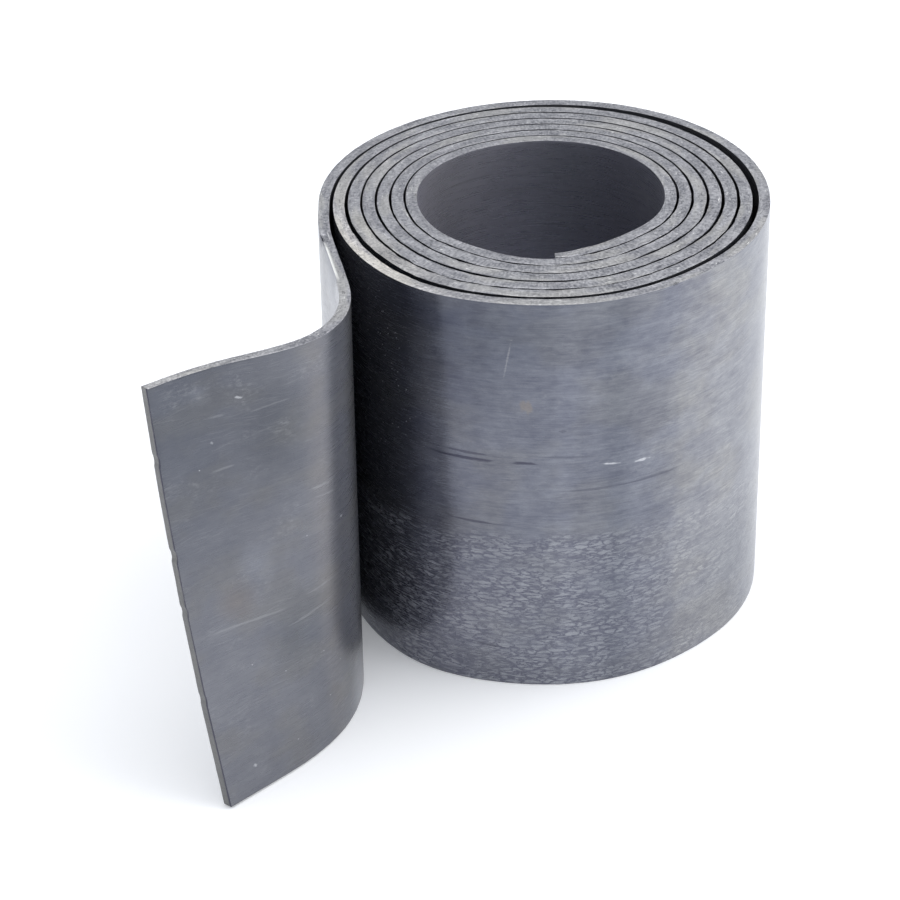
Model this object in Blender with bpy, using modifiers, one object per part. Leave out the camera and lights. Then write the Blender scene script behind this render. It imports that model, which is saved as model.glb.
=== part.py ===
"""A roll of lead flashing that stands on its end, with its outer end let out.

The whole thing is one sheet of soft lead. It is modelled as a flat strip that is rolled:
a grid is laid out over the sheet's length and width, each of its points is moved to its
place in the winding, and Solidify gives the strip its thickness. Metres, +Z up. The end
that the roll stands on is at z = 0, and the middle of the part's box is on the Z axis.
"""
from math import atan2, ceil, cos, exp, hypot, pi, radians, sin, sqrt

import bpy
import bmesh

# The sheet as it comes from the mill
SHEET_WIDTH = 0.100
THICKNESS = 0.0027

# The winding, anticlockwise from the inner end, seen from above
BORE_RADIUS = 0.0259
WOUND_TURNS = 6.75
INNER_END_ANGLE = radians(-88)
INNER_GAP = 0.00055
OUTER_GAP = 0.00085

# The inner turns sit off the middle of the outer ones, towards this angle
INNER_TURNS_OFFSET = 0.0015
INNER_TURNS_OFFSET_ANGLE = radians(104)

# Soft corners left by handling: where each is, how wide, and how far it stands out,
# on the innermost turn and on the outermost one
SOFT_CORNERS = (
    {"angle": radians(-49), "spread": radians(23), "inner": -0.0013, "outer": -0.0010},
    {"angle": radians(68), "spread": radians(54), "inner": 0.0013, "outer": 0.0009},
    {"angle": radians(154), "spread": radians(34), "inner": 0.0013, "outer": 0.0006},
    {"angle": radians(236), "spread": radians(18), "inner": -0.0012, "outer": 0.0014},
)

# Loose spots, where one turn stands away from the turn inside it: how many turns back
# from the tail, how many turns wide, and how far out
LOOSE_SPOTS = (
    {"turns_back": 0.38, "spread": 0.14, "out": 0.0013},
    {"turns_back": 0.90, "spread": 0.07, "out": 0.0007},
)

# The tail: the outer end runs on from the roll, bends back on itself and curls a little.
# A bend's length is measured along the sheet, and its foot and head differ
TAIL_LENGTH = 0.1007
RUN_OUT_TURN = radians(11)
RUN_OUT_LENGTH = 0.019
HEAD_BEND_START = 0.0317
HEAD_BEND_LENGTH = 0.0533
HEAD_BEND_ANGLE = radians(96.5)
FOOT_BEND_START = 0.0264
FOOT_BEND_LENGTH = 0.063
FOOT_BEND_ANGLE = radians(57)
HEAD_END_CURL = radians(30)
END_CURL_LENGTH = 0.036

# How finely the strip is divided
SEGMENTS_PER_TURN = 72
TAIL_SEGMENT = 0.005
HEIGHT_ROWS = 4

# The finish of milled lead
LEAD_COLOUR = (0.30, 0.31, 0.33, 1.0)
LEAD_ROUGHNESS = 0.5
LEAD_METALLIC = 0.8


def smooth_step(value):
    """Rise from 0 to 1 with no corner at either end."""
    value = min(max(value, 0.0), 1.0)
    return value * value * (3.0 - 2.0 * value)


def between(foot, head, height):
    """A value part of the way up the sheet, from its foot to its head."""
    return foot + (head - foot) * height


def angle_apart(first, second):
    """The turn from one angle to another, at most half a circle either way."""
    return (first - second + pi) % (2.0 * pi) - pi


def winding_point(turns):
    """Where the sheet's inner face is, this many turns from the inner end."""
    share = turns / WOUND_TURNS
    angle = INNER_END_ANGLE + 2.0 * pi * turns
    gap_growth = (OUTER_GAP - INNER_GAP) * turns * share / 2.0
    radius = BORE_RADIUS + (THICKNESS + INNER_GAP) * turns + gap_growth
    for corner in SOFT_CORNERS:
        reach = angle_apart(angle, corner["angle"]) / corner["spread"]
        height = between(corner["inner"], corner["outer"], share)
        radius += height * exp(-reach * reach)
    for spot in LOOSE_SPOTS:
        reach = (WOUND_TURNS - spot["turns_back"] - turns) / spot["spread"]
        radius += spot["out"] * exp(-reach * reach)
    offset = INNER_TURNS_OFFSET * (1.0 - share)
    x = radius * cos(angle) + offset * cos(INNER_TURNS_OFFSET_ANGLE)
    y = radius * sin(angle) + offset * sin(INNER_TURNS_OFFSET_ANGLE)
    return x, y


def tail_turn(distance, height):
    """How far the tail has turned, this far along it and this far up the sheet."""
    run_out = RUN_OUT_TURN * smooth_step(distance / RUN_OUT_LENGTH)
    start = between(FOOT_BEND_START, HEAD_BEND_START, height)
    length = between(FOOT_BEND_LENGTH, HEAD_BEND_LENGTH, height)
    angle = between(FOOT_BEND_ANGLE, HEAD_BEND_ANGLE, height)
    bend = angle * smooth_step((distance - start) / length)
    curl_start = TAIL_LENGTH - END_CURL_LENGTH
    curl = HEAD_END_CURL * height * smooth_step((distance - curl_start) / END_CURL_LENGTH)
    return run_out - bend + curl


def winding_points():
    """The wound part of the sheet, which is the same all the way up."""
    segments = ceil(WOUND_TURNS * SEGMENTS_PER_TURN)
    return [winding_point(WOUND_TURNS * step / segments) for step in range(segments + 1)]


def tail_points(wound, height):
    """The tail at one height, walked on from the winding in short straight steps."""
    before, last = wound[-2:]
    leaving = atan2(last[1] - before[1], last[0] - before[0])
    segments = ceil(TAIL_LENGTH / TAIL_SEGMENT)
    step = TAIL_LENGTH / segments
    x, y = last
    points = []
    for index in range(segments):
        heading = leaving + tail_turn((index + 0.5) * step, height)
        x += step * cos(heading)
        y += step * sin(heading)
        points.append((x, y))
    return points


def sheet_rows():
    """The strip's points, row by row from its foot to its head, as (x, y, z)."""
    wound = winding_points()
    foot = wound + tail_points(wound, 0.0)
    head = wound + tail_points(wound, 1.0)
    rows = []
    for index in range(HEIGHT_ROWS + 1):
        height = index / HEIGHT_ROWS
        row = []
        for place, low, high in zip(wound + tail_points(wound, height), foot, head):
            lean = hypot(high[0] - low[0], high[1] - low[1])
            rise = sqrt(SHEET_WIDTH ** 2 - lean ** 2)
            foot_lift = THICKNESS * lean / SHEET_WIDTH
            row.append((place[0], place[1], foot_lift + rise * height))
        rows.append(row)
    return rows


def lead_material():
    """Dull blue-grey milled lead."""
    material = bpy.data.materials.new("lead")
    material.use_nodes = True
    shader = material.node_tree.nodes["Principled BSDF"]
    shader.inputs["Base Color"].default_value = LEAD_COLOUR
    shader.inputs["Roughness"].default_value = LEAD_ROUGHNESS
    shader.inputs["Metallic"].default_value = LEAD_METALLIC
    material.diffuse_color = LEAD_COLOUR
    return material


def rolled_sheet(collection):
    """Lay the flat sheet out as a grid, roll it, and give it its thickness."""
    rows = sheet_rows()
    columns = len(rows[0]) - 1
    mesh = bpy.data.meshes.new("lead_sheet")
    flat = bmesh.new()
    bmesh.ops.create_grid(flat, x_segments=columns, y_segments=HEIGHT_ROWS, size=0.5)
    for vert in flat.verts:
        column = round((vert.co.x + 0.5) * columns)
        row = round((vert.co.y + 0.5) * HEIGHT_ROWS)
        vert.co = rows[row][column]
    for face in flat.faces:
        face.smooth = True
    flat.to_mesh(mesh)
    flat.free()
    sheet = bpy.data.objects.new("lead_sheet", mesh)
    collection.objects.link(sheet)
    sheet.data.materials.append(lead_material())
    wall = sheet.modifiers.new("thickness", "SOLIDIFY")
    wall.thickness = THICKNESS
    wall.offset = 1.0
    wall.use_even_offset = True
    return sheet


def centre_over_origin(sheet):
    """Move the part so that the middle of its box is on the Z axis."""
    bpy.context.view_layer.update()
    solid = sheet.evaluated_get(bpy.context.evaluated_depsgraph_get())
    corners = [solid.matrix_world @ vert.co for vert in solid.data.vertices]
    for axis in (0, 1):
        places = [corner[axis] for corner in corners]
        sheet.location[axis] -= (min(places) + max(places)) / 2.0


def build():
    for item in list(bpy.data.objects):
        bpy.data.objects.remove(item, do_unlink=True)
    collection = bpy.data.collections.new("lead_flashing_roll")
    bpy.context.scene.collection.children.link(collection)
    sheet = rolled_sheet(collection)
    centre_over_origin(sheet)


build()
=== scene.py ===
# %% [markdown]
# # A roll of lead flashing, wound from one strip
#
# Lead flashing is a strip of soft milled sheet. It is cut to width, wound up by hand and
# sold standing on its end. This lesson makes it in the order in which it is really made:
# the flat strip first, with its cut edges and its dents, then the winding, and then the
# finishes of a soft grey metal. Everything is in metres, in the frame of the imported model.

# %% Load the fixed frame
from math import atan2, pi, radians

import bpy
import numpy as np
from mathutils import Matrix, Vector


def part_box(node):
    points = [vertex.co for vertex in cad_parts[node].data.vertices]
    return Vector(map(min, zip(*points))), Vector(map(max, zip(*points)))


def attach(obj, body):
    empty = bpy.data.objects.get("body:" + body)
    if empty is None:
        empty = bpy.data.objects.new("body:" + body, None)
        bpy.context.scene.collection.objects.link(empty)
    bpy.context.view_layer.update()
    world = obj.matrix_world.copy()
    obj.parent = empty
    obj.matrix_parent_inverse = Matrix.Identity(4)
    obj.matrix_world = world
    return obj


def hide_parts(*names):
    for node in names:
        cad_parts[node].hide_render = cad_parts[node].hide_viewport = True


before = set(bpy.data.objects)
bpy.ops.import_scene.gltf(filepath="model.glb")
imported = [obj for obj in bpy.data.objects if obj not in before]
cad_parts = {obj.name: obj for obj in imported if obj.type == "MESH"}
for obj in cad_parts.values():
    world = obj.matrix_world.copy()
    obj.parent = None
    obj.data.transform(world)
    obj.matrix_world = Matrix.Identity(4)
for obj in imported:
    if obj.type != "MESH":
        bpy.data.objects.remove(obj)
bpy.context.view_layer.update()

# %% [markdown]
# ## The path of the sheet
#
# The winding isn't a clean spiral. A soft sheet keeps soft corners where hands pressed it,
# and it stands loose in places, so the gaps between the turns differ all the way round.
# Its outer end runs on from the roll, bends back on itself, and leans, because its foot
# is bent less than its head. A path drawn by hand could follow this too, but a rule with a
# few named values is easier to change, and it keeps the sheet where the frame has it.

# %% The sizes of the sheet and of its winding
SHEET_WIDTH = 0.100
THICKNESS = 0.0027

BORE_RADIUS = 0.0259
WOUND_TURNS = 6.75
INNER_END_ANGLE = radians(-88)
INNER_GAP = 0.00055
OUTER_GAP = 0.00085
INNER_TURNS_OFFSET = 0.0015
INNER_TURNS_OFFSET_ANGLE = radians(104)

SOFT_CORNERS = (
    {"angle": radians(-49), "spread": radians(23), "inner": -0.0013, "outer": -0.0010},
    {"angle": radians(68), "spread": radians(54), "inner": 0.0013, "outer": 0.0009},
    {"angle": radians(154), "spread": radians(34), "inner": 0.0013, "outer": 0.0006},
    {"angle": radians(236), "spread": radians(18), "inner": -0.0012, "outer": 0.0014},
)
LOOSE_SPOTS = (
    {"turns_back": 0.38, "spread": 0.14, "out": 0.0013},
    {"turns_back": 0.90, "spread": 0.07, "out": 0.0007},
)

# %% The sizes of the tail
TAIL_LENGTH = 0.1007
RUN_OUT_TURN = radians(11)
RUN_OUT_LENGTH = 0.019
HEAD_BEND_START = 0.0317
HEAD_BEND_LENGTH = 0.0533
HEAD_BEND_ANGLE = radians(96.5)
FOOT_BEND_START = 0.0264
FOOT_BEND_LENGTH = 0.063
FOOT_BEND_ANGLE = radians(57)
HEAD_END_CURL = radians(30)
END_CURL_LENGTH = 0.036


# %% The winding: where the sheet's inner face lies after so many turns
def smooth_step(value):
    """Rise from 0 to 1 with no corner at either end."""
    value = np.clip(value, 0.0, 1.0)
    return value * value * (3.0 - 2.0 * value)


def between(foot, head, height):
    """A value part of the way up the sheet, from its foot to its head."""
    return foot + (head - foot) * height


def winding_point(turns):
    """The inner face, this many turns from the inner end."""
    share = turns / WOUND_TURNS
    angle = INNER_END_ANGLE + 2.0 * pi * turns
    gap_growth = (OUTER_GAP - INNER_GAP) * turns * share / 2.0
    radius = BORE_RADIUS + (THICKNESS + INNER_GAP) * turns + gap_growth
    for corner in SOFT_CORNERS:
        apart = (angle - corner["angle"] + pi) % (2.0 * pi) - pi
        reach = apart / corner["spread"]
        radius = radius + between(corner["inner"], corner["outer"], share) * np.exp(-reach * reach)
    for spot in LOOSE_SPOTS:
        reach = (WOUND_TURNS - spot["turns_back"] - turns) / spot["spread"]
        radius = radius + spot["out"] * np.exp(-reach * reach)
    offset = INNER_TURNS_OFFSET * (1.0 - share)
    x = radius * np.cos(angle) + offset * np.cos(INNER_TURNS_OFFSET_ANGLE)
    y = radius * np.sin(angle) + offset * np.sin(INNER_TURNS_OFFSET_ANGLE)
    return np.stack([x, y], axis=-1)


# %% The tail: how far it has turned, this far along it and this far up the sheet
def tail_turn(distance, height):
    run_out = RUN_OUT_TURN * smooth_step(distance / RUN_OUT_LENGTH)
    start = between(FOOT_BEND_START, HEAD_BEND_START, height)
    length = between(FOOT_BEND_LENGTH, HEAD_BEND_LENGTH, height)
    angle = between(FOOT_BEND_ANGLE, HEAD_BEND_ANGLE, height)
    bend = angle * smooth_step((distance - start) / length)
    curl_start = TAIL_LENGTH - END_CURL_LENGTH
    curl = HEAD_END_CURL * height * smooth_step((distance - curl_start) / END_CURL_LENGTH)
    return run_out - bend + curl


# %% Five paths, one for each of five heights up the sheet
STEPS_PER_TURN = 360
LEAVING_STEP = 1.0 / 72.0
TAIL_STEPS = 120
PATH_HEIGHTS = np.linspace(0.0, 1.0, 5)

wound_steps = int(WOUND_TURNS * STEPS_PER_TURN)
wound = winding_point(np.linspace(0.0, WOUND_TURNS, wound_steps + 1))
last_stretch = winding_point(WOUND_TURNS) - winding_point(WOUND_TURNS - LEAVING_STEP)
leaving = atan2(last_stretch[1], last_stretch[0])


def path_at(height):
    """The whole sheet seen from above, at one height."""
    step = TAIL_LENGTH / TAIL_STEPS
    middles = (np.arange(TAIL_STEPS) + 0.5) * step
    heading = leaving + tail_turn(middles, height)
    strides = step * np.stack([np.cos(heading), np.sin(heading)], axis=-1)
    return np.concatenate([wound, wound[-1] + np.cumsum(strides, axis=0)])


plans = np.array([path_at(height) for height in PATH_HEIGHTS])
ruler = np.concatenate([[0.0], np.cumsum(np.linalg.norm(np.diff(plans[0], axis=0), axis=1))])
SHEET_LENGTH = float(ruler[-1])
print(f"The strip is {SHEET_LENGTH * 1000:.0f} mm long, and its tail {TAIL_LENGTH * 1000:.0f} mm")

# %% The same five paths in space, with the way that is out of the roll at each point
lean = np.linalg.norm(plans[-1] - plans[0], axis=-1)
rise = np.sqrt(SHEET_WIDTH ** 2 - lean ** 2)
foot_lift = THICKNESS * lean / SHEET_WIDTH
heights_in_space = foot_lift + rise * PATH_HEIGHTS[:, None]
paths = np.concatenate([plans, heights_in_space[..., None]], axis=-1)

forwards = np.gradient(paths, ruler, axis=1)
upwards = np.broadcast_to(paths[-1] - paths[0], paths.shape)
outwards = np.cross(forwards, upwards)
outwards /= np.linalg.norm(outwards, axis=-1, keepdims=True)


def rolled(flat):
    """Take points of the flat strip (along it, across it, out of its face) into the roll."""
    along, across, out = flat.T
    level = np.clip(across / SHEET_WIDTH, 0.0, 1.0) * (len(paths) - 1)
    lower = np.minimum(level.astype(int), len(paths) - 2)
    share = level - lower
    places = np.zeros_like(flat)
    for row in range(len(paths)):
        weight = np.where(lower == row, 1.0 - share, 0.0) + np.where(lower + 1 == row, share, 0.0)
        for axis in range(3):
            place = np.interp(along, ruler, paths[row][:, axis])
            push = np.interp(along, ruler, outwards[row][:, axis])
            places[:, axis] += weight * (place + push * out)
    return places


# %% [markdown]
# ## The flat strip
#
# On the bench the strip is a long rectangle. X runs along it, Y across it, and Z out of
# the face that will look outwards. A grid primitive gives it with a UV map that follows the
# sheet, which the rolling streaks need later. Extra rows are cut in close to the two long
# edges with Bisect, so that the rounding of the edges doesn't spread over the wide faces.
# The two short ends get closer points with Subdivide, as their nicks are only a millimetre.

# %% Lay the strip out
COLUMN = 0.0014
ROWS = 10
EDGE_ROWS = (0.0007, 0.0035)


def start_fresh():
    """Leave object mode's selection empty, as every operator acts on all that is selected."""
    bpy.ops.object.select_all(action="DESELECT")


start_fresh()
middle = (SHEET_LENGTH / 2.0, SHEET_WIDTH / 2.0, 0.0)
columns = round(SHEET_LENGTH / COLUMN)
bpy.ops.mesh.primitive_grid_add(x_subdivisions=columns, y_subdivisions=ROWS, size=1.0, location=middle)
strip = bpy.context.object
strip.name = "rolled_lead_strip"
bpy.ops.object.mode_set(mode="EDIT")
bpy.ops.transform.resize(value=(SHEET_LENGTH, SHEET_WIDTH, 1.0), center_override=middle)
for row in EDGE_ROWS + tuple(SHEET_WIDTH - row for row in EDGE_ROWS):
    bpy.ops.mesh.select_all(action="SELECT")
    bpy.ops.mesh.bisect(plane_co=(0.0, row, 0.0), plane_no=(0.0, 1.0, 0.0))
bpy.ops.mesh.select_all(action="DESELECT")
bpy.ops.object.mode_set(mode="OBJECT")
bpy.ops.object.transform_apply(location=True, rotation=True, scale=True)
print("The flat strip measures", [round(size, 4) for size in strip.dimensions])


# %% Give the two short ends closer points, so that they can be nicked
CLOSE_ROW = 0.005
TOUCHING = 1e-5
END_CUTS = 9


def points_of(mesh):
    """All of a mesh's points as an array."""
    points = np.zeros(len(mesh.vertices) * 3, np.float32)
    mesh.vertices.foreach_get("co", points)
    return points.reshape(-1, 3).astype(float)


def edge_ends(mesh):
    """The places of the two ends of every edge."""
    ends = np.zeros(len(mesh.edges) * 2, np.int32)
    mesh.edges.foreach_get("vertices", ends)
    return points_of(mesh)[ends.reshape(-1, 2)]


def split_edges(mesh, chosen, cuts):
    """Cut the chosen edges into equal lengths, and with them any face that they surround."""
    mesh.vertices.foreach_set("select", np.zeros(len(mesh.vertices), bool))
    mesh.polygons.foreach_set("select", np.zeros(len(mesh.polygons), bool))
    mesh.edges.foreach_set("select", chosen)
    bpy.ops.object.mode_set(mode="EDIT")
    bpy.ops.mesh.select_mode(type="EDGE")
    bpy.ops.mesh.subdivide(number_cuts=cuts)
    bpy.ops.mesh.select_mode(type="VERT")
    bpy.ops.object.mode_set(mode="OBJECT")


ends = edge_ends(strip.data)
long_enough = np.abs(ends[:, 0, 1] - ends[:, 1, 1]) > CLOSE_ROW
at_inner_end = ends[:, :, 0].max(axis=1) < TOUCHING
at_outer_end = ends[:, :, 0].min(axis=1) > SHEET_LENGTH - TOUCHING
split_edges(strip.data, long_enough & (at_inner_end | at_outer_end), END_CUTS)
print("With its short ends cut finer the strip has", len(strip.data.vertices), "points")

# %% [markdown]
# ## Thickness and cut edges
#
# Solidify gives the sheet its thickness. It can hand each side its own material slot, and
# the rim a third one: the milled faces are dull, and the edges that the slitting knife cut
# are bright. The rim's faces alone are then split three by three, because what happens to
# a cut edge is finer than the strip's columns, and Bevel takes the corners off.

# %% Give the strip its thickness
INSIDE = 1
CUT_EDGE = 2


def finish_modifier(kind, **settings):
    """Add a modifier to the strip, set it and apply it."""
    bpy.context.view_layer.objects.active = strip
    bpy.ops.object.modifier_add(type=kind)
    modifier = strip.modifiers[-1]
    for setting, value in settings.items():
        setattr(modifier, setting, value)
    bpy.ops.object.modifier_apply(modifier=modifier.name)


for finish in ("milled_lead_outside", "milled_lead_inside", "cut_lead_edge"):
    strip.data.materials.append(bpy.data.materials.new(finish))
finish_modifier(
    "SOLIDIFY", thickness=THICKNESS, offset=1.0, use_even_offset=True,
    material_offset=INSIDE, material_offset_rim=CUT_EDGE,
)

# %% Split the rim's faces three by three, then round its corners
RIM_CUTS = 2
EDGE_ROUND = 0.00012
SHARP = radians(40)

ends = edge_ends(strip.data)
from_the_ends = np.minimum(ends[..., 0], SHEET_LENGTH - ends[..., 0])
from_the_sides = np.minimum(ends[..., 1], SHEET_WIDTH - ends[..., 1])
on_the_rim = np.minimum(from_the_ends, from_the_sides).max(axis=1) < TOUCHING
split_edges(strip.data, on_the_rim, RIM_CUTS)
finish_modifier(
    "BEVEL", width=EDGE_ROUND, segments=2, limit_method="ANGLE",
    angle_limit=SHARP, material=CUT_EDGE,
)
print("With thickness and rounded edges the strip has", len(strip.data.polygons), "faces")

# %% [markdown]
# ## What the knife and the hands left
#
# Lead is so soft that its edges carry every knock, and its faces are never quite flat. A
# dent draws the metal round it along, as Proportional Editing does, so the pinched inner
# end, the bruised corner and the nicks are pressed in with it, one by one. What is uneven
# all over comes from Displace modifiers with cloud textures, because clouds are uneven in
# the way that soft metal is, and vertex groups keep them in their places.
#
# The slitting knife also spreads each edge into a burr, which nearly closes the gaps
# between the inner turns. How far each burr may reach is worked out from the gap beside it,
# so that thin broken lines stay everywhere. Each burr is also stopped just short of the
# middle of its gap, so that no two turns ever grow together.

# %% Press dents into the strip, each with a soft surrounding
UNMOVED = 1e-6


def press(low, high, push, reach):
    """Move the points in a box, and draw those round them along with Proportional Editing."""
    places = points_of(strip.data)
    inside = np.all((places >= low) & (places <= high), axis=1)
    strip.data.edges.foreach_set("select", np.zeros(len(strip.data.edges), bool))
    strip.data.polygons.foreach_set("select", np.zeros(len(strip.data.polygons), bool))
    strip.data.vertices.foreach_set("select", inside)
    bpy.ops.object.mode_set(mode="EDIT")
    bpy.ops.transform.translate(
        value=push, use_proportional_edit=True, proportional_size=reach, proportional_edit_falloff="SMOOTH",
    )
    bpy.ops.object.mode_set(mode="OBJECT")
    moved = np.linalg.norm(points_of(strip.data) - places, axis=1)
    print(f"Pressed {inside.sum()} points and drew {(moved > UNMOVED).sum()} with them")


# %% The pinched inner end and the bruised corner
CORNER = 0.0003
BEYOND = 0.001
PINCHED = 0.0005
PINCH_DEPTH = 0.0009
PINCH_REACH = 0.007
BRUISES = (
    (1.6125, 1.6290, (0.0, -0.00035, -0.00040), 0.0020),
    (1.6090, 1.6110, (0.0, -0.00080, -0.00060), 0.0014),
)

bench_places = points_of(strip.data)
below_all = (-BEYOND, -BEYOND, -BEYOND)
press(below_all, (PINCHED, SHEET_WIDTH + BEYOND, CORNER), (0.0, 0.0, PINCH_DEPTH), PINCH_REACH)
for start, end, push, reach in BRUISES:
    near = (start, SHEET_WIDTH - CORNER, THICKNESS - CORNER)
    far = (end, SHEET_WIDTH + BEYOND, THICKNESS + BEYOND)
    press(near, far, push, reach)

# %% The nicks in the outer end, as a height and a depth
NICKS = ((0.0835, 0.00020), (0.0615, 0.00028), (0.0483, 0.00022), (0.0270, 0.00015))
NICK_HALF_WIDTH = 0.0006
NICK_REACH = 0.0011

for nick_height, depth in NICKS:
    near = (SHEET_LENGTH - CORNER, nick_height - NICK_HALF_WIDTH, -BEYOND)
    far = (SHEET_LENGTH + BEYOND, nick_height + NICK_HALF_WIDTH, THICKNESS + BEYOND)
    press(near, far, (-depth, 0.0, 0.0), NICK_REACH)


# %% Helpers for the Displace modifiers
def clouds(name, size, depth):
    """A cloud texture of this size, for a Displace modifier."""
    texture = bpy.data.textures.new(name, "CLOUDS")
    texture.noise_scale = size
    texture.noise_depth = depth
    return texture


def weigh(name, weights, levels=16):
    """A vertex group that holds these weights, in a few steps."""
    group = strip.vertex_groups.new(name=name)
    steps = np.round(np.clip(weights, 0.0, 1.0) * levels).astype(int)
    for step in range(1, levels + 1):
        group.add(np.flatnonzero(steps == step).tolist(), step / levels, "REPLACE")
    return group.name


# %% How much of each gap the burrs may close, by turns from the inner end
BURR = 0.0010
CLOSED = 0.42
CLOSED_MORE_IN_FRONT = 0.42
WIDER_AT = 3.0
WIDER_BY = 0.25
BURR_FADES_AT = 4.45
BURR_FADE = 0.4
LAST_GAPS_CLOSED = 0.06
NARROWER_AT = 4.9
NARROWER_BY = 0.24
SPOT_SPREAD = 0.2


def gap_outside(turns):
    """The clear gap between this turn and the next one out."""
    return np.linalg.norm(winding_point(turns + 1.0) - winding_point(turns), axis=-1) - THICKNESS


def burr_outside(turns):
    """How far the burrs reach into the gap outside this turn, as a share of BURR."""
    in_front = np.clip(np.cos(2.0 * pi * turns), 0.0, 1.0)
    wider = np.exp(-((turns - WIDER_AT) / SPOT_SPREAD) ** 2)
    closed = CLOSED + CLOSED_MORE_IN_FRONT * in_front - WIDER_BY * wider
    closed = closed * (1.0 - smooth_step((turns - BURR_FADES_AT) / BURR_FADE))
    narrower = np.exp(-((turns - NARROWER_AT) / SPOT_SPREAD) ** 2)
    last_gaps = LAST_GAPS_CLOSED + NARROWER_BY * narrower
    return np.maximum(closed, last_gaps) * gap_outside(turns) / BURR


# %% Find the edges' points, and those that face a gap
EDGE_REACH = 0.00045
OUTER_PART = 0.6
INNER_PART = 0.4
LAST_COVERED_TURN = WOUND_TURNS - 1.1

along, across, out = bench_places.T
turns_on_ruler = np.linspace(0.0, WOUND_TURNS, wound_steps + 1)
turns_there = np.interp(along, ruler[: wound_steps + 1], turns_on_ruler)
turns_there = np.where(along > ruler[wound_steps], WOUND_TURNS, turns_there)
from_edge = np.minimum(across, SHEET_WIDTH - across)
from_any_edge = np.minimum(from_edge, np.minimum(along, SHEET_LENGTH - along))
at_edge = (from_any_edge < EDGE_REACH).astype(float)
long_edge = from_edge < EDGE_REACH
outer_side = long_edge & (out > THICKNESS * OUTER_PART) & (turns_there < LAST_COVERED_TURN)
inner_side = long_edge & (out < THICKNESS * INNER_PART) & (turns_there > 1.0)
outer_burr = outer_side * burr_outside(turns_there)
inner_burr = inner_side * burr_outside(turns_there - 1.0)
print(f"No burr may reach more than {outer_burr.max() * BURR * 1000:.2f} mm into its gap")

# %% Uneven faces, rough edges and burrs
FACE_DIP = 0.00012
FACE_WAVE = 0.016
EDGE_DIP = 0.00009
EDGE_WAVE = 0.0022
BURR_WAVE = 0.0045

finish_modifier("DISPLACE", texture=clouds("uneven faces", FACE_WAVE, 2), strength=FACE_DIP, mid_level=1.0)
finish_modifier(
    "DISPLACE", texture=clouds("rough edges", EDGE_WAVE, 3), strength=EDGE_DIP, mid_level=1.0,
    vertex_group=weigh("cut edges", at_edge),
)
for side, weights, outwards_push in (("outer burr", outer_burr, BURR), ("inner burr", inner_burr, -BURR)):
    finish_modifier(
        "DISPLACE", texture=clouds(side, BURR_WAVE, 2), strength=outwards_push, mid_level=0.0,
        direction="Z", vertex_group=weigh(side, weights),
    )

# %% Stop each burr just short of the middle of its gap
MOST_OF_GAP = 0.47

burred = points_of(strip.data)
outermost = THICKNESS + MOST_OF_GAP * gap_outside(turns_there)
innermost = -MOST_OF_GAP * gap_outside(turns_there - 1.0)
stopped = np.where(outer_side, np.minimum(burred[:, 2], outermost), burred[:, 2])
stopped = np.where(inner_side, np.maximum(stopped, innermost), stopped)
print((stopped != burred[:, 2]).sum(), "points of the burrs were stopped")
burred[:, 2] = stopped
strip.data.vertices.foreach_set("co", burred.astype(np.float32).ravel())
strip.data.update()

# %% [markdown]
# ## Winding it up
#
# The finishes will follow the sheet and not the room, so before the strip is wound each
# point writes down where it lay on the bench, in an attribute. The Curve modifier can wind
# a strip along one path. This sheet needs five, as its tail leans, so each of its points is
# sent along the paths by the rule made above. The roll is then moved as a whole, so that
# its box is centred where the frame's own sheet is.

# %% Write down where each point lay on the bench
bench_place = strip.data.attributes.new("bench_place", "FLOAT_VECTOR", "POINT")
bench_place.data.foreach_set("vector", bench_places.astype(np.float32).ravel())

# %% Roll the strip up
corner_lines = [
    rolled(np.stack([ruler, np.full_like(ruler, across), np.full_like(ruler, out)], axis=-1))
    for across in (0.0, SHEET_WIDTH) for out in (0.0, THICKNESS)
]
lines = np.concatenate(corner_lines)
sheet_low, sheet_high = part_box("lead_sheet")
shift = np.array((sheet_low + sheet_high) / 2.0) - (lines.min(0) + lines.max(0)) / 2.0
shift[2] = 0.0

wound_up = rolled(points_of(strip.data)) + shift
strip.data.vertices.foreach_set("co", wound_up.astype(np.float32).ravel())
strip.data.update()
start_fresh()
strip.select_set(True)
bpy.ops.object.shade_smooth()
strip.data.calc_loop_triangles()
print(len(strip.data.loop_triangles), "triangles, and the roll's axis stands at", shift.round(5).tolist())

# %% The strip stands for the frame's plain sheet
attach(strip, "root")
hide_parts("lead_sheet")


# %% [markdown]
# ## Finishes
#
# Milled lead is a grey metal under a thin, cloudy skin. Four things are seen on it: the
# fine streaks that the rolling mill leaves along the sheet, soft blotches of bluer and
# browner grey, a band of pale flecks where damp has crept up from its foot, and marks from
# handling. All of them run along the sheet, so each pattern reads the place on the bench,
# in metres, and is stretched along it. Painting them by hand would give one picture. Built
# from nodes they stay sharp at any size.

# %% Helpers that add nodes
def node(finish, kind, inputs=None, **settings):
    """Add a node, set its settings, and feed its inputs with values or with other outputs."""
    made = finish.node_tree.nodes.new("ShaderNode" + kind)
    for setting, value in settings.items():
        setattr(made, setting, value)
    for socket, value in (inputs or {}).items():
        if isinstance(value, bpy.types.NodeSocket):
            finish.node_tree.links.new(value, made.inputs[socket])
        else:
            made.inputs[socket].default_value = value
    return made


def both(finish, operation, first, second):
    """Two values put together."""
    return node(finish, "Math", {0: first, 1: second}, operation=operation).outputs[0]


def rescale(finish, value, low, high, to_low=0.0, to_high=1.0):
    """Map one range of values softly to another."""
    inputs = {"Value": value, "From Min": low, "From Max": high, "To Min": to_low, "To Max": to_high}
    return node(finish, "MapRange", inputs, interpolation_type="SMOOTHSTEP").outputs[0]


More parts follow.
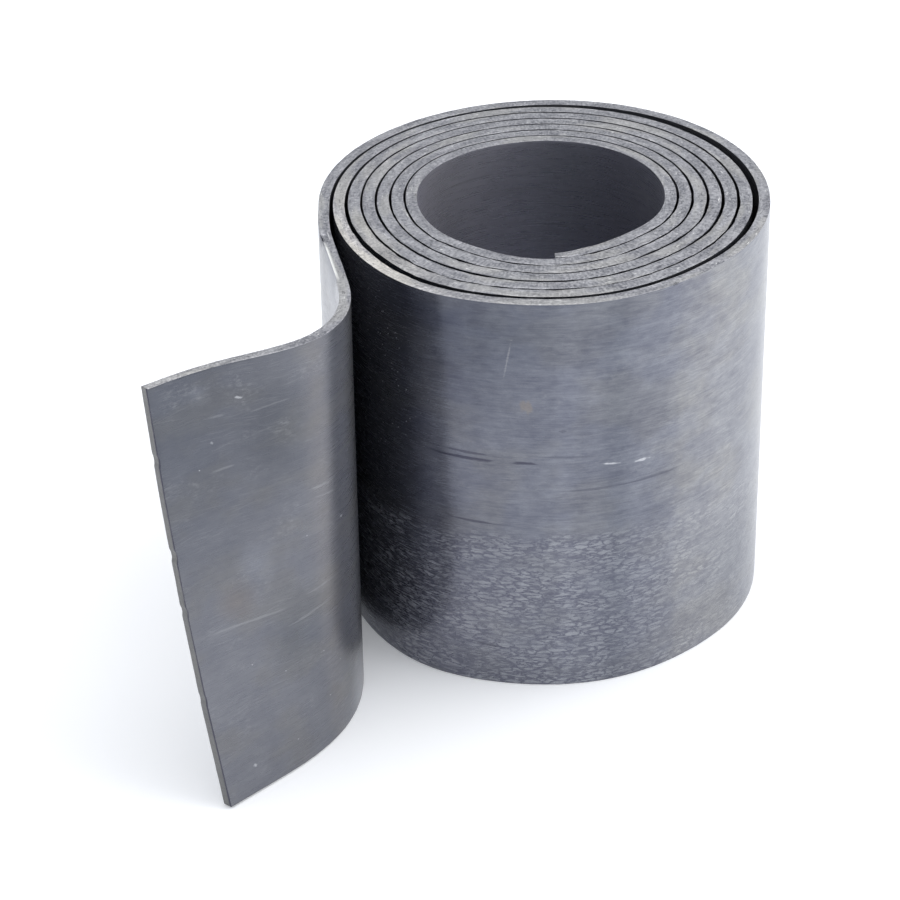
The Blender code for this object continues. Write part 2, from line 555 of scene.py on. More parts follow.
def over(finish, share, below, above):
    """One colour over another, by a share from 0 to 1."""
    return node(finish, "Mix", {0: share, 6: below, 7: above}, data_type="RGBA").outputs[2]


# %% Noise is mostly middling, so layers are drawn out from where it really varies
NOISE_LOW = 0.34
NOISE_HIGH = 0.66


def layered(finish, *layers):
    """Noises laid over one another, each drawn out to its full range, by their weights."""
    total = 0.0
    for noise, weight in layers:
        full = rescale(finish, noise, NOISE_LOW, NOISE_HIGH, 0.0, weight)
        total = both(finish, "ADD", full, total)
    return total


# %% Places on the sheet, and noise that is stretched along it
def on_the_bench(finish):
    """Where a point lay on the bench: along the sheet, across it, and out of its face."""
    return node(finish, "Attribute", attribute_name="bench_place").outputs["Vector"]


def stretched(finish, place, size, seed=0.0):
    """The same place, measured in grains of this size."""
    inputs = {"Vector": place, "Scale": tuple(1.0 / side for side in size), "Location": (seed, seed, seed)}
    return node(finish, "Mapping", inputs).outputs["Vector"]


def slanted(finish, place, slant):
    """The same place, with the sheet turned a little on the bench."""
    return node(finish, "Mapping", {"Vector": place, "Rotation": (0.0, 0.0, slant)}).outputs["Vector"]


def grain(finish, place, size, detail=2.0, roughness=0.5, seed=0.0):
    """Noise with grains of this size, from 0 to 1."""
    inputs = {"Vector": stretched(finish, place, size, seed), "Scale": 1.0}
    inputs.update({"Detail": detail, "Roughness": roughness})
    return node(finish, "TexNoise", inputs).outputs["Fac"]


# %% Flecks and specks
WOBBLES = ((0.9, 1.3), (2.6, 0.75))
NET_EDGE = (-0.03, 0.23)
RIPPLE_SCALE = 0.8
RIPPLE = (0.36, 0.60, 0.55, 1.0)
SPECK_CORE = 0.4


def flecks(finish, place, size):
    """Pale islands in a darker net with soft, wavy edges, as of drops that dried."""
    cells = stretched(finish, place, size)
    for scale, push in WOBBLES:
        wobble = node(finish, "TexNoise", {"Vector": cells, "Scale": scale, "Detail": 2.0}).outputs["Color"]
        wobble = node(finish, "VectorMath", {0: wobble, "Scale": push}, operation="SCALE").outputs[0]
        cells = node(finish, "VectorMath", {0: cells, 1: wobble}, operation="ADD").outputs[0]
    net = node(finish, "TexVoronoi", {"Vector": cells, "Scale": 1.0}, feature="DISTANCE_TO_EDGE")
    island = rescale(finish, net.outputs["Distance"], *NET_EDGE)
    inputs = {"Vector": cells, "Scale": RIPPLE_SCALE, "Detail": 2.0}
    ripple = node(finish, "TexNoise", inputs).outputs["Fac"]
    return both(finish, "MULTIPLY", island, rescale(finish, ripple, *RIPPLE))


def specks(finish, place, spacing, radius, share):
    """Small round spots, with only this share of the places taken."""
    cells = stretched(finish, place, (spacing, spacing, spacing))
    spots = node(finish, "TexVoronoi", {"Vector": cells, "Scale": 1.0}, voronoi_dimensions="2D")
    edge = radius / spacing
    near = rescale(finish, spots.outputs["Distance"], edge, SPECK_CORE * edge)
    taken = both(finish, "LESS_THAN", spots.outputs["Color"], share)
    return both(finish, "MULTIPLY", near, taken)


# %% How far a point is from the middle of a mark
ANY_DEPTH = 1000.0


def from_middle(finish, place, start, end, width):
    """0 along the middle of a mark from one place on the sheet to another, and 1 at its rim."""
    start, end = Vector(start), Vector(end)
    middle = (start + end) / 2.0
    way = end - start
    inputs = {
        "Vector": place, "Location": (*middle, 0.0), "Rotation": (0.0, 0.0, atan2(way.y, way.x)),
        "Scale": (way.length / 2.0, width / 2.0, ANY_DEPTH),
    }
    inside = node(finish, "Mapping", inputs, vector_type="TEXTURE").outputs["Vector"]
    return node(finish, "VectorMath", {0: inside}, operation="LENGTH").outputs["Value"]


# %% The colours of milled lead
BLUE_GREY = (0.104, 0.110, 0.146, 1.0)
PALE_GREY = (0.228, 0.240, 0.276, 1.0)
BROWN_TINT = (1.03, 1.01, 0.955)
RUBBED = (0.330, 0.335, 0.350, 1.0)
FLECK = (0.292, 0.304, 0.337, 1.0)
NET = (0.104, 0.107, 0.145, 1.0)
INSIDE_DARK = (0.140, 0.145, 0.170, 1.0)
INSIDE_PALE = (0.192, 0.197, 0.218, 1.0)
# The two bore colours are painted light: paler than the tail's, for the light that bounces round inside the
# bore.
PAINTED_BORE_DARK = (0.312, 0.318, 0.372, 1.0)
PAINTED_BORE_PALE = (0.392, 0.398, 0.452, 1.0)
SCRATCH_AND_SHADE = (0.048, 0.048, 0.074, 1.0)
BRIGHT = (0.62, 0.63, 0.66, 1.0)
BROWN = (0.230, 0.200, 0.175, 1.0)
DUST = (0.45, 0.46, 0.50, 1.0)


# %% The skin that both faces share: brushed streaks, blotches and soft bands
def lead_skin(finish, place, streak_length):
    """How pale a milled face is from place to place, and its brushed streaks by themselves."""
    brushed = grain(finish, place, (streak_length, 0.00036, 0.01), detail=4.0, roughness=0.7)
    fine = grain(finish, place, (0.013, 0.00055, 0.01), detail=3.0, roughness=0.65, seed=1.0)
    long = grain(finish, place, (0.070, 0.0018, 0.01), seed=3.0)
    blotch = grain(finish, place, (0.010, 0.0065, 0.01), detail=4.0, roughness=0.6, seed=7.0)
    bands = grain(finish, place, (0.007, 0.200, 0.01), seed=11.0)
    mottle = grain(finish, place, (0.0026, 0.0015, 0.01), detail=4.0, roughness=0.65, seed=21.0)
    layers = ((brushed, 0.22), (fine, 0.15), (long, 0.06), (blotch, 0.26), (bands, 0.10), (mottle, 0.21))
    return layered(finish, *layers), brushed


def tinted(finish, share, colour, tint):
    """A colour times a tint, by a share from 0 to 1, so that its streaks still show."""
    inputs = {0: share, 6: colour, 7: (*tint, 1.0)}
    return node(finish, "Mix", inputs, data_type="RGBA", blend_type="MULTIPLY").outputs[2]


# %% Brown patches, hairs and scuffs
WARM_PATCH = (0.44, 0.64)
HAIR = (0.008, 0.00028, 0.01)
HAIR_SLANTS = (0.14, -0.11)
HAIR_RAMP = (0.58, 0.74)
HAIR_PATCH = (0.42, 0.60)
SCUFF_RAMP = (0.46, 0.66)
SCUFF_PATCH = (0.50, 0.72)


def warmed(finish, place, colour):
    """Turn the grey a little browner in patches."""
    warmth = grain(finish, place, (0.016, 0.011, 0.01), detail=3.0, seed=12.0)
    return tinted(finish, rescale(finish, warmth, *WARM_PATCH), colour, BROWN_TINT)


def rubbed(finish, place, colour, strength):
    """Fine pale hairs that cross each other, in patches, where hands and gloves went."""
    first = grain(finish, slanted(finish, place, HAIR_SLANTS[0]), HAIR, detail=1.0, seed=15.0)
    second = grain(finish, slanted(finish, place, HAIR_SLANTS[1]), HAIR, detail=1.0, seed=17.0)
    hairs = rescale(finish, both(finish, "MAXIMUM", first, second), *HAIR_RAMP)
    patch = grain(finish, place, (0.014, 0.009, 0.01), detail=2.0, seed=19.0)
    patch = rescale(finish, patch, *HAIR_PATCH)
    share = both(finish, "MULTIPLY", hairs, both(finish, "MULTIPLY", patch, strength))
    return over(finish, share, colour, RUBBED)


def scuffed(finish, place, colour, strength):
    """Clouds of short pale scuffs, where a glove or a tool rubbed."""
    scuff = grain(finish, place, (0.0016, 0.0009, 0.01), detail=4.0, roughness=0.7, seed=23.0)
    patch = grain(finish, place, (0.011, 0.009, 0.01), detail=2.0, seed=27.0)
    patch = rescale(finish, patch, *SCUFF_PATCH, 0.0, strength)
    share = both(finish, "MULTIPLY", rescale(finish, scuff, *SCUFF_RAMP), patch)
    return over(finish, share, colour, RUBBED)


# %% Broad tints, single marks and dust
MARK_CORE = 0.45
MARK_RAGGED = (0.25, 0.75, -0.35, 0.35)
MARK_GRAIN = (0.3, 0.6)
SEED_SPREAD = 20.0
DUST_RADIUS = 0.00017
DUST_THINS_AT = 0.6


def add_tints(finish, place, colour, tints):
    """Darken or lighten broad soft places. A tint is a start, an end, a width and a tone."""
    for start, end, width, tone in tints:
        distance = from_middle(finish, place, start, end, width)
        colour = tinted(finish, rescale(finish, distance, 1.0, 0.0), colour, tone)
    return colour


def add_marks(finish, place, colour, marks):
    """Lay each mark over the colour. A mark is a start, an end, a width, a tone and a strength."""
    for start, end, width, tone, strength in marks:
        length = (Vector(end) - Vector(start)).length
        size = (MARK_GRAIN[0] * length, MARK_GRAIN[1] * width, 0.01)
        wear_and_reflection_band = grain(finish, place, size, detail=3.0, seed=SEED_SPREAD * start[0])
        ragged = rescale(finish, wear_and_reflection_band, *MARK_RAGGED)
        distance = both(finish, "ADD", ragged, from_middle(finish, place, start, end, width))
        colour = over(finish, rescale(finish, distance, 1.0, MARK_CORE, 0.0, strength), colour, tone)
    return colour


def dusted(finish, place, colour, metal, zone, spacing, share):
    """A few grains of dust in one zone. They aren't metal, and so stay pale in the dark."""
    dust = specks(finish, place, spacing, DUST_RADIUS, share)
    in_zone = rescale(finish, from_middle(finish, place, *zone), 1.0, DUST_THINS_AT)
    dust = both(finish, "MULTIPLY", dust, in_zone)
    colour = over(finish, dust, colour, DUST)
    return colour, rescale(finish, dust, 0.0, 1.0, metal, 0.0)


# %% Feeding the shader
MIDDLING = (0.3, 0.7)


def dress_shader(finish, colour, rough, relief, depth, metallic):
    """Feed the shader, and raise a fine relief on it."""
    shader = finish.node_tree.nodes["Principled BSDF"]
    bump = node(finish, "Bump", {"Height": relief, "Strength": 1.0, "Distance": depth})
    links = finish.node_tree.links
    links.new(bump.outputs["Normal"], shader.inputs["Normal"])
    links.new(colour, shader.inputs["Base Color"])
    links.new(rough, shader.inputs["Roughness"])
    links.new(metallic, shader.inputs["Metallic"])


# %% [markdown]
# ## The outer face
#
# On the outermost turn damp has crept up from the floor to two fifths of the height, and left pale flecks
# in a dark net. They are a crust and not metal, so they are given less of the metallic look, and still show
# where the face mirrors something dark. The line they reach is a little tilted, and they fade towards the
# sides. Above them run a few thin dark scratches, where the roll was slid along something hard, two bright
# scuffs and a brown spot. Each is laid where it is on the sheet, by its distance from the inner end and
# from the foot. Lighter and darker bands that run the whole height, a paler band on the right among them,
# and a bright patch at the upper left are painted reflections and painted sheen, laid in the same way.
# Grains of dust lie where the tail shelters the wall.

# %% Where the outer face is paler or darker, as a start, an end, a width and a tint
outer_tints_with_painted_reflections = (
    # The bands that run the whole height are painted reflections, lighter and darker, as the room shows in
    # the curved wall. The bright tint at the upper left is a painted sheen. The others lighten or darken
    # broad places near the top and the foot, and two small patches.
    ((1.4060, -0.2000), (1.4060, 0.3000), 0.04600, (1.39, 1.36, 1.28)),
    ((1.6200, -0.2000), (1.6200, 0.3000), 0.09000, (0.96, 0.95, 0.93)),
    ((1.3795, -0.2000), (1.3795, 0.3000), 0.01100, (0.86, 0.87, 0.88)),
    ((1.3690, -0.2000), (1.3690, 0.3000), 0.00700, (1.08, 1.08, 1.08)),
    ((1.3050, 0.0950), (1.3900, 0.0950), 0.03800, (0.70, 0.72, 0.76)),
    ((1.3400, -0.2000), (1.3400, 0.3000), 0.05500, (0.86, 0.85, 0.87)),
    ((1.3250, 0.0820), (1.3690, 0.0820), 0.05600, (0.79, 0.80, 0.82)),
    ((1.2920, 0.0920), (1.3360, 0.0920), 0.04000, (1.60, 1.54, 1.54)),
    ((1.3150, 0.0180), (1.3680, 0.0180), 0.05000, (1.20, 1.19, 1.18)),
    ((1.3900, 0.0180), (1.4400, 0.0180), 0.05000, (0.86, 0.87, 0.88)),
    ((1.3790, 0.0870), (1.3860, 0.0830), 0.00900, (1.14, 1.14, 1.12)),
    ((1.3900, 0.0700), (1.3980, 0.0660), 0.01000, (1.10, 1.10, 1.07)),
)

# %% The outer face's scratches, spot and scuffs
outer_marks = (
    ((1.3390, 0.0602), (1.3562, 0.0599), 0.00110, SCRATCH_AND_SHADE, 0.80),
    ((1.3570, 0.0600), (1.3640, 0.0600), 0.00085, SCRATCH_AND_SHADE, 0.75),
    ((1.3400, 0.0618), (1.3560, 0.0612), 0.00085, SCRATCH_AND_SHADE, 0.60),
    ((1.3405, 0.0437), (1.3580, 0.0435), 0.00075, SCRATCH_AND_SHADE, 0.60),
    ((1.3490, 0.0107), (1.3570, 0.0099), 0.00070, SCRATCH_AND_SHADE, 0.55),
    ((1.3600, 0.0620), (1.3790, 0.0611), 0.00065, SCRATCH_AND_SHADE, 0.32),
    ((1.3640, 0.0526), (1.3860, 0.0528), 0.00085, SCRATCH_AND_SHADE, 0.42),
    ((1.3780, 0.0528), (1.3990, 0.0527), 0.00080, SCRATCH_AND_SHADE, 0.42),
    ((1.3672, 0.0683), (1.3692, 0.0682), 0.00075, SCRATCH_AND_SHADE, 0.42),
    ((1.3558, 0.0806), (1.3577, 0.0915), 0.00045, RUBBED, 0.38),
    ((1.3587, 0.0744), (1.3621, 0.0746), 0.00380, BROWN, 0.50),
    ((1.3764, 0.0590), (1.3807, 0.0585), 0.00055, BRIGHT, 0.60),
    ((1.3834, 0.0580), (1.3876, 0.0580), 0.00075, BRIGHT, 0.62),
)

# %% The outer face's skin
OUTSIDE_STREAKS = 0.0036
OUTSIDE_RUBBED = 0.15
OUTSIDE_SCUFFED = 0.20

outside_finish, inside_finish, edge_finish = strip.data.materials
outside_finish.use_nodes = True
bench = on_the_bench(outside_finish)
pale_share, brushed = lead_skin(outside_finish, bench, OUTSIDE_STREAKS)
colour = warmed(outside_finish, bench, over(outside_finish, pale_share, BLUE_GREY, PALE_GREY))
colour = rubbed(outside_finish, bench, colour, OUTSIDE_RUBBED)
colour = scuffed(outside_finish, bench, colour, OUTSIDE_SCUFFED)

# %% How far the damp has crept up, with a ragged and tilted line
DAMP_LINE = 0.0405
DAMP_FADE = 0.0025
DAMP_TILT = 0.0045
FRONT = 1.365
LAST_TURN = 0.315

parts = node(outside_finish, "SeparateXYZ", {0: bench})
height = parts.outputs["Y"]
ragged = grain(outside_finish, bench, (0.004, 0.0015, 0.01), detail=2.0, seed=5.0)
height = both(outside_finish, "ADD", height, both(outside_finish, "MULTIPLY", ragged, 2.0 * DAMP_FADE))
from_front = both(outside_finish, "SUBTRACT", parts.outputs["X"], FRONT)
round_the_roll = both(outside_finish, "MULTIPLY", from_front, 2.0 * pi / LAST_TURN)
tilt = both(outside_finish, "MULTIPLY", both(outside_finish, "COSINE", round_the_roll, 0.0), -DAMP_TILT)
height = both(outside_finish, "ADD", height, both(outside_finish, "ADD", tilt, DAMP_TILT))
damp = rescale(outside_finish, height, DAMP_LINE + 2.0 * DAMP_FADE, DAMP_LINE)
print(f"Damp has crept up to {DAMP_LINE / SHEET_WIDTH:.2f} of the height in front")

# %% The flecks, clear in front and faint towards the sides
FLECK_SIZE = (0.0031, 0.00098, 0.01)
FLECKS_MIDDLE = 1.351
FLECKS_CLEAR = 0.018
FLECKS_FAINT = 0.058
FAINT = 0.42
PATCHY = (0.35, 0.6, 0.45, 0.85)

islands = flecks(outside_finish, bench, FLECK_SIZE)
patchy = grain(outside_finish, bench, (0.012, 0.006, 0.01), detail=2.0, seed=9.0)
strong = both(outside_finish, "MULTIPLY", damp, rescale(outside_finish, patchy, *PATCHY))
beside = both(outside_finish, "SUBTRACT", parts.outputs["X"], FLECKS_MIDDLE)
beside = both(outside_finish, "ABSOLUTE", beside, 0.0)
clear = rescale(outside_finish, beside, FLECKS_FAINT, FLECKS_CLEAR, FAINT, 1.0)
strong = both(outside_finish, "MULTIPLY", strong, clear)
colour = over(outside_finish, strong, colour, over(outside_finish, islands, NET, FLECK))

# %% The outer face's tints, painted reflection band and marks
PAINTED_REFLECTION_BAND = ((1.4130, -0.5000), (1.4130, 0.6000), 0.04000)
PAINTED_REFLECTION_EDGE = 0.86
PAINTED_REFLECTION_TINT = (1.10, 1.09, 1.05)

colour = add_tints(outside_finish, bench, colour, outer_tints_with_painted_reflections)
# A paler band that runs the whole height on the right is a painted reflection, where the bright part of the
# room shows in the wall.
wear_and_reflection_band = from_middle(outside_finish, bench, *PAINTED_REFLECTION_BAND)
wear_and_reflection_band = rescale(outside_finish, wear_and_reflection_band, 1.0, PAINTED_REFLECTION_EDGE)
colour = tinted(outside_finish, wear_and_reflection_band, colour, PAINTED_REFLECTION_TINT)
colour = add_marks(outside_finish, bench, colour, outer_marks)
print(len(outer_tints_with_painted_reflections), "tints and", len(outer_marks), "marks lie on the outer face")

# %% The outer face's metal, crust and dust
OUTSIDE_METAL = 0.86
CRUST = 0.45
OUTSIDE_ROUGH = (0.20, 0.29)
OUTSIDE_RELIEF = 0.000012
OUTER_DUST = ((1.2900, 0.0700), (1.3420, 0.0820), 0.07000)
OUTER_DUST_SPACING = 0.0012
OUTER_DUST_SHARE = 0.20

crust = both(outside_finish, "MULTIPLY", both(outside_finish, "MULTIPLY", strong, islands), CRUST)
metal = both(outside_finish, "SUBTRACT", OUTSIDE_METAL, crust)
colour, metal = dusted(
    outside_finish, bench, colour, metal, OUTER_DUST, OUTER_DUST_SPACING, OUTER_DUST_SHARE,
)
rough = rescale(outside_finish, brushed, *MIDDLING, *OUTSIDE_ROUGH)
relief = both(outside_finish, "ADD", brushed, both(outside_finish, "MULTIPLY", damp, islands))
dress_shader(outside_finish, colour, rough, relief, OUTSIDE_RELIEF, metal)

# %% [markdown]
# ## The inner face
#
# The inner face shows in the bore and all over the tail. It was kept from the weather, so it has no flecks,
# but the tail has been handled: long pale scratches along the sheet, clouds of short scuffs, a few white
# specks, and smudges. Its streaks are longer than those outside. In the bore it is painted paler than on
# the tail, as painted light for the light that bounces round inside it, and a paler and a darker band there
# are painted light and painted shade. On the tail, lighter and darker upright bands and a darker upper part
# are painted sheen and painted shade.

# %% Where the inner face is paler or darker, in the bore and on the tail
inner_tints_with_painted_light = (
    # In the bore a paler band and a darker band are painted light and painted shade, where light from the
    # upper right falls in. On the tail, the upright lighter and darker bands and the darker upper part are
    # painted sheen and painted shade; the three small patches are smudges.
    ((0.1120, -0.2000), (0.1120, 0.3000), 0.07800, (1.72, 1.66, 1.60)),
    ((0.0640, -0.2000), (0.0640, 0.3000), 0.04400, (0.62, 0.62, 0.64)),
    ((1.6565, 0.1500), (1.6620, -0.0500), 0.01300, (1.17, 1.12, 1.06)),
    ((1.6470, -0.2000), (1.6470, 0.3000), 0.01700, (1.68, 1.66, 1.60)),
    ((1.6690, 0.1050), (1.6690, 0.0600), 0.02600, (0.72, 0.73, 0.74)),
    ((1.6700, 0.0500), (1.6700, 0.0160), 0.02600, (0.78, 0.80, 0.82)),
    ((1.6350, 0.0850), (1.7650, 0.0850), 0.13000, (0.72, 0.73, 0.75)),
    ((1.6900, 0.0400), (1.6900, 0.1500), 0.04000, (0.88, 0.90, 0.93)),
    ((1.6835, 0.0920), (1.6868, 0.0975), 0.00600, (1.28, 1.28, 1.26)),
    ((1.6745, 0.0460), (1.6815, 0.0600), 0.01400, (1.16, 1.17, 1.18)),
    ((1.6770, 0.0430), (1.6910, 0.0490), 0.01300, (1.10, 1.02, 0.92)),
)

# %% The inner face's specks and scratches
inner_marks = (
    ((1.6757, 0.0916), (1.6776, 0.0922), 0.00070, BRIGHT, 0.45),
    ((1.6790, 0.0888), (1.6845, 0.0890), 0.00060, RUBBED, 0.22),
    ((1.6650, 0.0886), (1.6757, 0.0879), 0.00060, RUBBED, 0.22),
    ((1.6785, 0.0770), (1.6853, 0.0770), 0.00060, RUBBED, 0.24),
    ((1.6833, 0.0832), (1.6841, 0.0837), 0.00060, BRIGHT, 0.25),
    ((1.6545, 0.0643), (1.6632, 0.0652), 0.00080, RUBBED, 0.38),
    ((1.6540, 0.0614), (1.6612, 0.0626), 0.00070, RUBBED, 0.34),
    ((1.6528, 0.0535), (1.6536, 0.0539), 0.00095, BRIGHT, 0.90),
    ((1.6690, 0.0393), (1.6950, 0.0412), 0.00080, RUBBED, 0.28),
    ((1.6560, 0.0364), (1.6742, 0.0348), 0.00075, RUBBED, 0.26),
    ((1.6550, 0.0405), (1.6692, 0.0405), 0.00070, RUBBED, 0.26),
    ((1.6873, 0.0062), (1.6883, 0.0068), 0.00090, BRIGHT, 0.45),
    ((0.0960, 0.0940), (0.1135, 0.0954), 0.00110, BRIGHT, 0.30),
    ((0.0930, 0.0925), (0.1120, 0.0925), 0.00070, RUBBED, 0.35),
    ((0.0760, 0.0872), (0.1000, 0.0880), 0.00070, RUBBED, 0.30),
    ((0.0470, 0.0930), (0.0640, 0.0912), 0.00070, RUBBED, 0.30),
    ((0.0400, 0.0860), (0.0580, 0.0830), 0.00080, RUBBED, 0.28),
)

# %% The inner face's skin, painted paler in the bore as painted light
INSIDE_STREAKS = 0.0120
PAINTED_BORE_LIGHT_FADE = (0.35, 0.15)

inside_finish.use_nodes = True
bench = on_the_bench(inside_finish)
pale_share, brushed = lead_skin(inside_finish, bench, INSIDE_STREAKS)
colour = warmed(inside_finish, bench, over(inside_finish, pale_share, INSIDE_DARK, INSIDE_PALE))
parts = node(inside_finish, "SeparateXYZ", {0: bench})
# Painted light: the first part of the sheet, which lines the bore, takes the paler bore colours.
painted_bore_light = rescale(inside_finish, parts.outputs["X"], *PAINTED_BORE_LIGHT_FADE)
colour = over(inside_finish, painted_bore_light, colour, over(inside_finish, pale_share, PAINTED_BORE_DARK, PAINTED_BORE_PALE))
print(f"The sheltered part is the first {PAINTED_BORE_LIGHT_FADE[0]:.2f} m of the sheet")

# %% The inner face's marks, metal and dust
INSIDE_RUBBED = 0.16
INSIDE_SCUFFED = 0.26
INSIDE_METAL = 0.8
INSIDE_ROUGH = (0.25, 0.34)
INSIDE_RELIEF = 0.000003
TAIL_DUST = ((1.6300, 0.0500), (1.7200, 0.0500), 0.14000)
TAIL_DUST_SPACING = 0.0060
TAIL_DUST_SHARE = 0.19

colour = add_tints(inside_finish, bench, colour, inner_tints_with_painted_light)
colour = rubbed(inside_finish, bench, colour, INSIDE_RUBBED)
colour = scuffed(inside_finish, bench, colour, INSIDE_SCUFFED)
colour = add_marks(inside_finish, bench, colour, inner_marks)
colour, metal = dusted(
    inside_finish, bench, colour, INSIDE_METAL, TAIL_DUST, TAIL_DUST_SPACING, TAIL_DUST_SHARE,
)
rough = rescale(inside_finish, brushed, *MIDDLING, *INSIDE_ROUGH)
dress_shader(inside_finish, colour, rough, brushed, INSIDE_RELIEF, metal)
print(len(inner_tints_with_painted_light), "tints and", len(inner_marks), "marks lie on the inner face")

# %% [markdown]
# ## The cut edges
#
# The slitting knife bared the metal. A warmer, paler tone along the outermost turn in front, the next turn
# in and the tail's top edge is a painted highlight. Close to, the edges are grainy: short scuffs along the
# edge, dark pits and bright chips. The foot, which stands on the floor, and the sheared outer end have
# dulled again.

# %% The colours of a cut edge, and its painted highlights
EDGE_DARK = (0.130, 0.133, 0.158, 1.0)
EDGE_PALE = (0.530, 0.530, 0.556, 1.0)
EDGE_WARM = (0.540, 0.528, 0.490, 1.0)
EDGE_DULL = (0.135, 0.135, 0.133, 1.0)
PIT = (0.070, 0.070, 0.082, 1.0)
CHIP = (0.900, 0.900, 0.880, 1.0)

edge_painted_highlights = (
    # Painted highlights, warm and bright, where the upper edges catch the light: on the outermost turn in
    # front, on the next turn in, and on the tail's top edge.
    ((1.2750, 0.1000), (1.3600, 0.1000), 0.02000, (1.58, 1.53, 1.42)),
    ((1.0150, 0.1000), (1.0700, 0.1000), 0.02000, (1.25, 1.22, 1.12)),
    ((1.6600, 0.1000), (1.7200, 0.1000), 0.02000, (1.45, 1.43, 1.36)),
)

# %% The grainy cut metal
WARM_EDGE = (0.50, 0.62, 0.0, 0.32)
PITTED = (0.58, 0.70, 0.0, 0.50)
CHIPPED = (0.66, 0.76, 0.0, 0.65)

edge_finish.use_nodes = True
bench = on_the_bench(edge_finish)
scuffs = grain(edge_finish, bench, (0.00050, 0.001, 0.0014), detail=3.0, roughness=0.7)
crumbs = grain(edge_finish, bench, (0.00060, 0.00045, 0.00045), detail=3.0, seed=4.0)
patches = grain(edge_finish, bench, (0.008, 0.010, 0.0018), detail=3.0, seed=8.0)
share = layered(edge_finish, (scuffs, 0.36), (crumbs, 0.34), (patches, 0.30))
colour = over(edge_finish, share, EDGE_DARK, EDGE_PALE)
warm = grain(edge_finish, bench, (0.020, 0.010, 0.004), detail=2.0, seed=2.0)
colour = over(edge_finish, rescale(edge_finish, warm, *WARM_EDGE), colour, EDGE_WARM)
colour = add_tints(edge_finish, bench, colour, edge_painted_highlights)
pits = grain(edge_finish, bench, (0.0015, 0.0006, 0.00035), detail=2.0, seed=6.0)
colour = over(edge_finish, rescale(edge_finish, pits, *PITTED), colour, PIT)
chips = grain(edge_finish, bench, (0.0020, 0.0006, 0.00033), detail=2.0, seed=14.0)
colour = over(edge_finish, rescale(edge_finish, chips, *CHIPPED), colour, CHIP)

# %% A painted highlight along the bruise on the bend's outer corner
BRUISE_HIGHLIGHT = ((1.6105, SHEET_WIDTH), (1.6310, SHEET_WIDTH), 0.004)
BRUISE_HIGHLIGHT_RIM = (0.8, 0.3)
BRUISE_HIGHLIGHT_RAGGED = 0.4
HIGHLIGHTED_CORNER = (THICKNESS - 0.0009, THICKNESS - 0.0003)

# A painted highlight: a bright line along the bruised outer corner, where its rounding catches the light.
bruise_highlight = from_middle(edge_finish, bench, *BRUISE_HIGHLIGHT)
bruise_highlight = both(edge_finish, "SUBTRACT", bruise_highlight, both(edge_finish, "MULTIPLY", crumbs, BRUISE_HIGHLIGHT_RAGGED))
bruise_highlight = rescale(edge_finish, bruise_highlight, *BRUISE_HIGHLIGHT_RIM)
parts = node(edge_finish, "SeparateXYZ", {0: bench})
outer_corner = rescale(edge_finish, parts.outputs["Z"], *HIGHLIGHTED_CORNER)
colour = over(edge_finish, both(edge_finish, "MULTIPLY", bruise_highlight, outer_corner), colour, CHIP)

# %% The foot and the outer end, which have dulled again
FOOT = (0.004, 0.002)
OUTER_END = (SHEET_LENGTH - 0.0004, SHEET_LENGTH - 0.0002)
SHADED_LINE = (0.0008, 0.0004)
DULLED = 0.85

near_foot = rescale(edge_finish, parts.outputs["Y"], *FOOT)
near_end = rescale(edge_finish, parts.outputs["X"], *OUTER_END)
dull = both(edge_finish, "MAXIMUM", near_foot, near_end)
colour = over(edge_finish, both(edge_finish, "MULTIPLY", dull, DULLED), colour, EDGE_DULL)
# A thin line of painted shade runs along the sheared outer end, beside the inner face.
by_the_face = rescale(edge_finish, parts.outputs["Z"], *SHADED_LINE)
colour = over(edge_finish, both(edge_finish, "MULTIPLY", near_end, by_the_face), colour, SCRATCH_AND_SHADE)

# %% The cut edges' metal
EDGE_METAL = 0.95
METAL_LOST = 0.3
EDGE_ROUGH = (0.36, 0.54)
EDGE_RELIEF = 0.00009

rough = rescale(edge_finish, crumbs, *MIDDLING, *EDGE_ROUGH)
metal = both(edge_finish, "SUBTRACT", EDGE_METAL, both(edge_finish, "MULTIPLY", dull, METAL_LOST))
dress_shader(edge_finish, colour, rough, share, EDGE_RELIEF, metal)
for finish in strip.data.materials:
    print(finish.name, "is made of", len(finish.node_tree.nodes), "nodes")

# %% [markdown]
# ## Floor, light and camera
#
# A grey metal shows what stands around it. A white floor and a pale room light its walls, and large soft
# lights give the vertical bands, which painted reflection bands on the outer face make stronger. The paper
# glows very slightly, as a sweep that is lit from below does, and so its shadows stay light. The camera
# stands well back with a long lens, so that the roll is hardly drawn out by perspective.

# %% A plain pale floor
FLOOR_SIZE = 8.0
PAPER = (0.90, 0.905, 0.92, 1.0)
PAPER_GLOW = (0.93, 0.96, 1.0, 1.0)
PAPER_GLOW_STRENGTH = 0.16
PAPER_ROUGHNESS = 0.9
PAPER_SHINE = 0.1

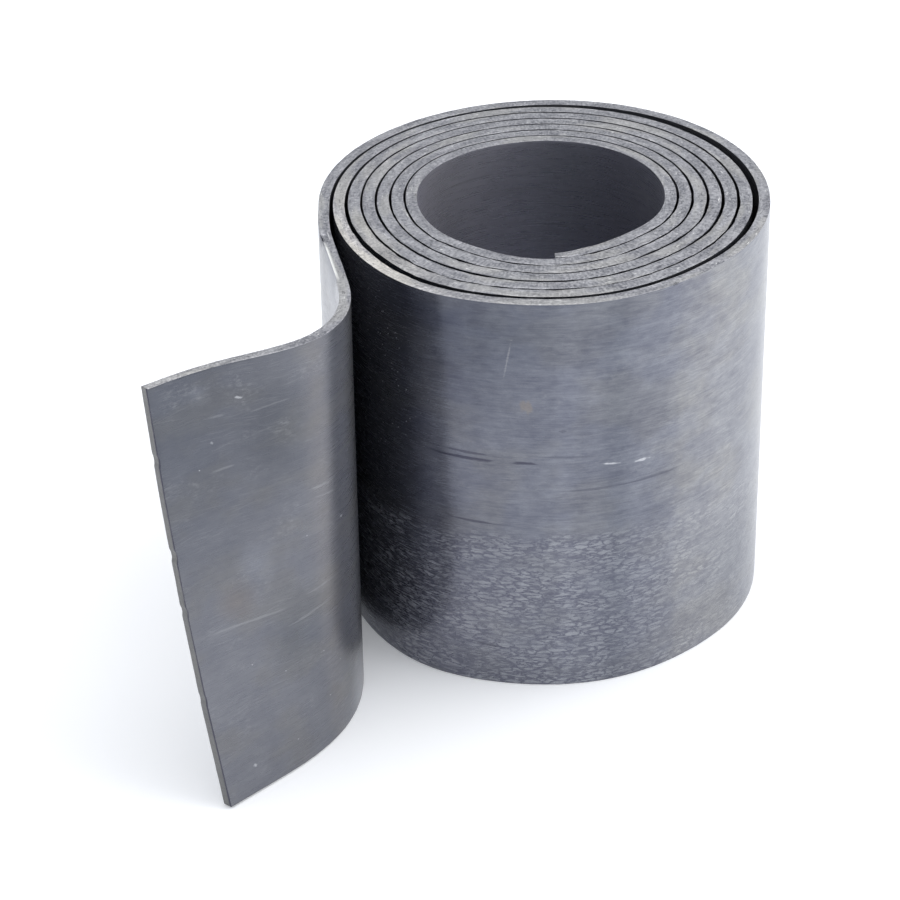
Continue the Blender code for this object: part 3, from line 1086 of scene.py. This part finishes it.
start_fresh()
bpy.ops.mesh.primitive_plane_add(size=FLOOR_SIZE, location=(0.0, 0.0, 0.0))
floor = bpy.context.object
floor.name = "studio_floor"
floor.data.materials.append(bpy.data.materials.new("white_paper"))
floor.data.materials[0].use_nodes = True
paper = floor.data.materials[0].node_tree.nodes["Principled BSDF"]
paper.inputs["Base Color"].default_value = PAPER
paper.inputs["Roughness"].default_value = PAPER_ROUGHNESS
paper.inputs["Specular IOR Level"].default_value = PAPER_SHINE
paper.inputs["Emission Color"].default_value = PAPER_GLOW
paper.inputs["Emission Strength"].default_value = PAPER_GLOW_STRENGTH

# %% A pale room
ROOM = (0.94, 0.965, 1.0, 1.0)
ROOM_STRENGTH = 0.7

world = bpy.data.worlds.new("studio")
bpy.context.scene.world = world
world.use_nodes = True
world.node_tree.nodes["Background"].inputs["Color"].default_value = ROOM
world.node_tree.nodes["Background"].inputs["Strength"].default_value = ROOM_STRENGTH


# %% Soft lights, each with a name, a place, a size and a power
LIGHTS = (
    ("overhead", (0.0, 0.25, 1.3), 1.3, 8.5),
    ("right_side", (0.62, 0.0, 0.55), 0.8, 4.2),
)
LIGHTS_AIM = Vector((0.0, 0.0, 0.0))


def soft_light(name, place, size, power):
    """A square area light that looks at the middle of the floor."""
    lamp = bpy.data.lights.new(name, "AREA")
    lamp.size = size
    lamp.energy = power
    holder = bpy.data.objects.new(name, lamp)
    bpy.context.scene.collection.objects.link(holder)
    holder.location = place
    holder.rotation_euler = (LIGHTS_AIM - Vector(place)).to_track_quat("-Z", "Y").to_euler()


for light in LIGHTS:
    soft_light(*light)
print(len(LIGHTS), "soft lights stand round the roll")

# %% The camera
LENS = 123.94
SENSOR = 36.0
LOOKS_DOWN = radians(31.956)
CAMERA_ROLL = radians(-1.028)
CAMERA_DISTANCE = 0.73529
CAMERA_TARGET = Vector((-0.00508, 0.02006, 0.03372))

camera_data = bpy.data.cameras.new("camera")
camera_data.lens = LENS
camera_data.sensor_width = SENSOR
camera = bpy.data.objects.new("camera", camera_data)
bpy.context.scene.collection.objects.link(camera)
turn = Matrix.Rotation(pi / 2.0 - LOOKS_DOWN, 4, "X") @ Matrix.Rotation(CAMERA_ROLL, 4, "Z")
camera.matrix_world = Matrix.Translation(CAMERA_TARGET + turn @ Vector((0.0, 0.0, CAMERA_DISTANCE))) @ turn
bpy.context.scene.camera = camera
bpy.context.scene.view_settings.view_transform = "Standard"
